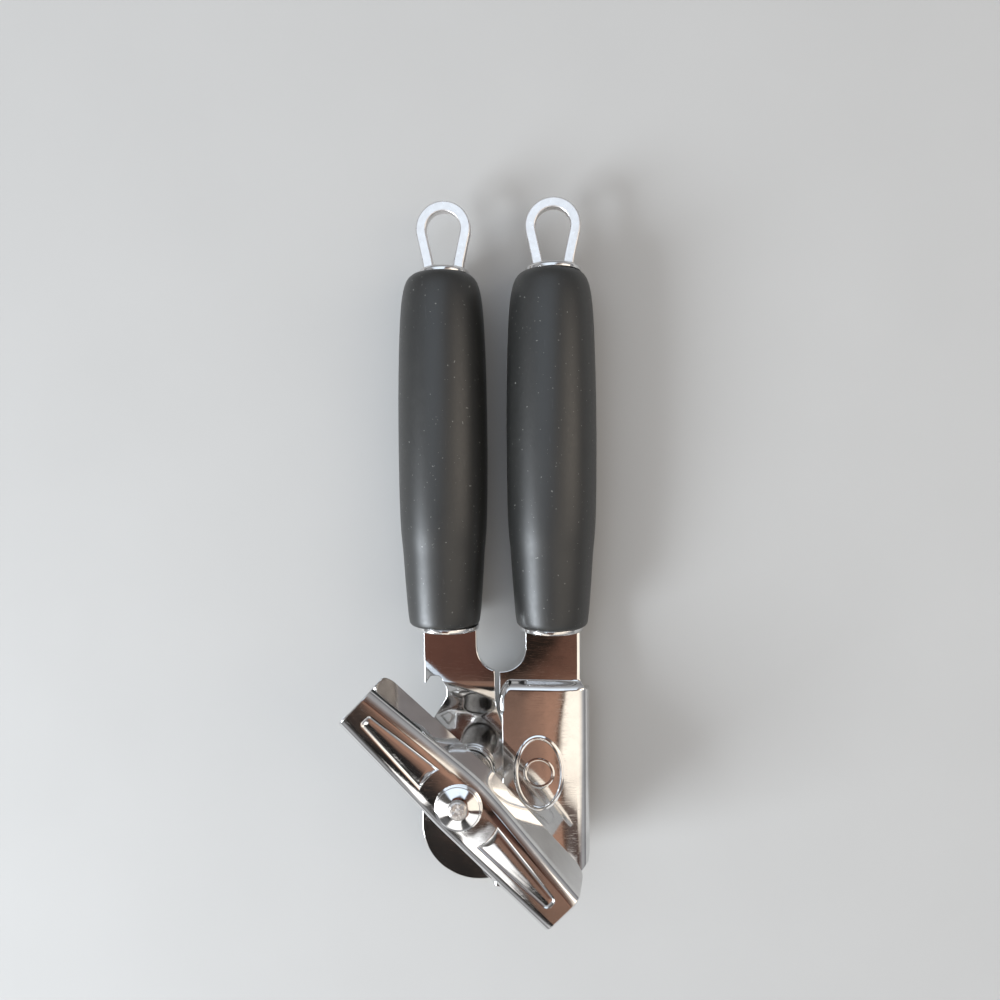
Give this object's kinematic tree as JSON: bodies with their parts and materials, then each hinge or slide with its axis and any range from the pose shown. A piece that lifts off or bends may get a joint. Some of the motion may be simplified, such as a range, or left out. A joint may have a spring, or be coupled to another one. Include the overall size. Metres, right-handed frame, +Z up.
{
  "type": "manual can opener",
  "caption": "Hand-held can opener with two long soft handles, a pressed turning key, a bottle-opener hook, and a geared feed wheel and cutting wheel behind the plates.",
  "frame": {"origin": "bottom centre of the overall box, with the opener lying on its back, key up", "axes": "+Z up out of the key side, +Y along the handles towards the hanging loops, +X towards the cutter arm"},
  "size_m": [0.0728, 0.207, 0.0423],
  "materials": {
    "plate_chrome": "polished chrome plate, mirror bright",
    "key_chrome": "polished chrome plate over pressed steel",
    "loop_steel": "satin bright steel wire form",
    "cap_chrome": "bright domed cap",
    "grip_rubber": "soft-touch black rubber, matte",
    "rivet_steel": "turned steel, slightly rough",
    "gear_steel": "plain zinc-plated steel",
    "cutter_steel": "ground hardened steel"
  },
  "bodies": {
    "cutter_arm": {"cutter_plate": "plate_chrome", "cutter_grip": "grip_rubber", "cutter_ferrule": "cap_chrome", "cutter_cap": "cap_chrome", "cutter_loop": "loop_steel", "cutter_stud": "rivet_steel", "cutter_washer": "rivet_steel", "pivot_rivet": "rivet_steel", "pivot_washer": "gear_steel"},
    "feed_arm": {"feed_plate": "plate_chrome", "feed_grip": "grip_rubber", "feed_ferrule": "cap_chrome", "feed_cap": "cap_chrome", "feed_loop": "loop_steel", "shaft_bushing": "plate_chrome"},
    "drive": {"crank_key": "key_chrome", "crank_washer": "key_chrome", "drive_shaft": "rivet_steel", "wave_washer": "rivet_steel", "drive_gear": "gear_steel", "feed_wheel": "gear_steel", "feed_nut": "gear_steel"},
    "cutter": {"cutter_gear": "gear_steel", "cutter_wheel": "cutter_steel"}
  },
  "joints": [
    {"name": "handle_pivot", "type": "hinge", "parent": "cutter_arm", "child": "feed_arm", "pos_m": [0.00555, -0.08745, 0.01425], "axis": [0, 0, 1], "range_deg": [0, 30]},
    {"name": "key_turn", "type": "hinge", "parent": "feed_arm", "child": "drive", "pos_m": [-0.00235, -0.06885, 0.01425], "axis": [0, 0, 1], "continuous": true},
    {"name": "cutter_turn", "type": "hinge", "parent": "cutter_arm", "child": "cutter", "pos_m": [0.01885, -0.06785, 0.00925], "axis": [0, 0, 1], "continuous": true}
  ],
  "couplings": [
    {"joint": "cutter_turn", "follows": "key_turn", "ratio": -1}
  ]
}
